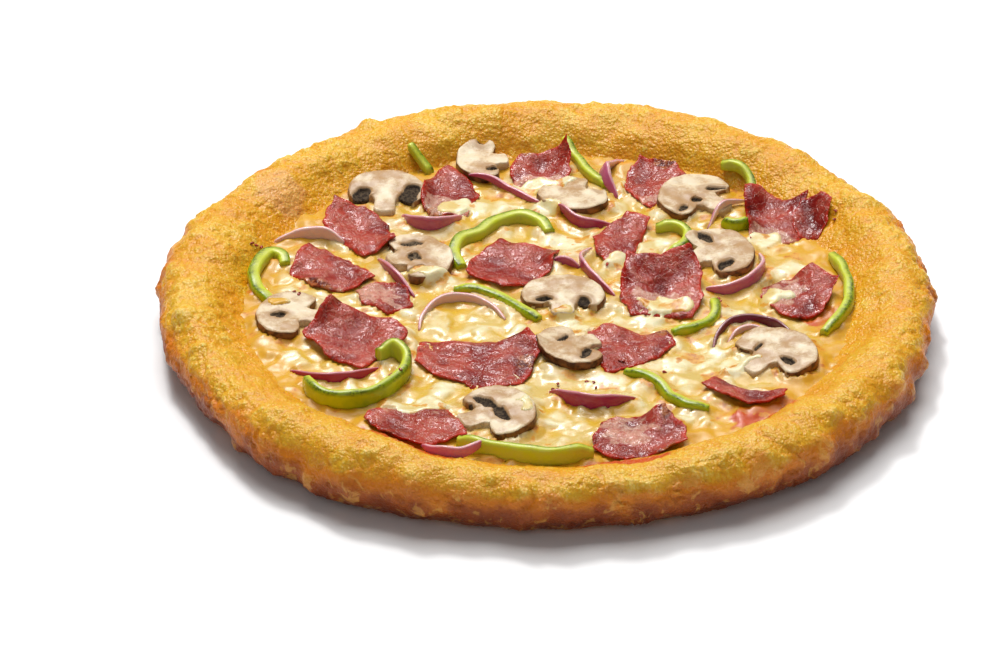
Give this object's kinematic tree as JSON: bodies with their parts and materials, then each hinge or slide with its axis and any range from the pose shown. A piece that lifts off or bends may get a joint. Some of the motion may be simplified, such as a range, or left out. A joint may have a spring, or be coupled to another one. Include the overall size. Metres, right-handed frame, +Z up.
{
  "type": "pan pizza",
  "caption": "Whole deep-crust pizza with a thick blistered golden rim, melted cheese, smoked ham slices, sliced mushrooms, green pepper strips and red onion strips.",
  "frame": {"origin": "Centre of the flat underside of the crust, on the surface that the pizza lies on.", "axes": "+Z points up through the toppings; +X points to the right and +Y away from the viewer, as the picture shows the pizza."},
  "size_m": [0.2996, 0.3018, 0.0398],
  "materials": {
    "crust": "satin",
    "cheese": "glossy",
    "ham": "glossy",
    "mushroom": "satin",
    "pepper": "glossy",
    "onion": "glossy"
  },
  "bodies": {
    "root": {"crust": "crust", "cheese": "cheese", "ham_01": "ham", "ham_02": "ham", "ham_03": "ham", "ham_04": "ham", "ham_05": "ham", "ham_06": "ham", "ham_07": "ham", "ham_08": "ham", "ham_09": "ham", "ham_10": "ham", "ham_11": "ham", "ham_12": "ham", "ham_13": "ham", "ham_14": "ham", "ham_15": "ham", "ham_16": "ham", "ham_17": "ham", "ham_18": "ham", "mushroom_01": "mushroom", "mushroom_02": "mushroom", "mushroom_03": "mushroom", "mushroom_04": "mushroom", "mushroom_05": "mushroom", "mushroom_06": "mushroom", "mushroom_07": "mushroom", "mushroom_08": "mushroom", "mushroom_09": "mushroom", "mushroom_10": "mushroom", "mushroom_11": "mushroom", "pepper_01": "pepper", "pepper_02": "pepper", "pepper_03": "pepper", "pepper_04": "pepper", "pepper_05": "pepper", "pepper_06": "pepper", "pepper_07": "pepper", "pepper_08": "pepper", "pepper_09": "pepper", "pepper_10": "pepper", "pepper_11": "pepper", "pepper_12": "pepper", "pepper_13": "pepper", "onion_01": "onion", "onion_02": "onion", "onion_03": "onion", "onion_04": "onion", "onion_05": "onion", "onion_06": "onion", "onion_07": "onion", "onion_08": "onion", "onion_09": "onion", "onion_10": "onion", "onion_11": "onion", "onion_12": "onion", "onion_13": "onion", "onion_14": "onion", "onion_15": "onion", "onion_16": "onion"}
  },
  "joints": []
}
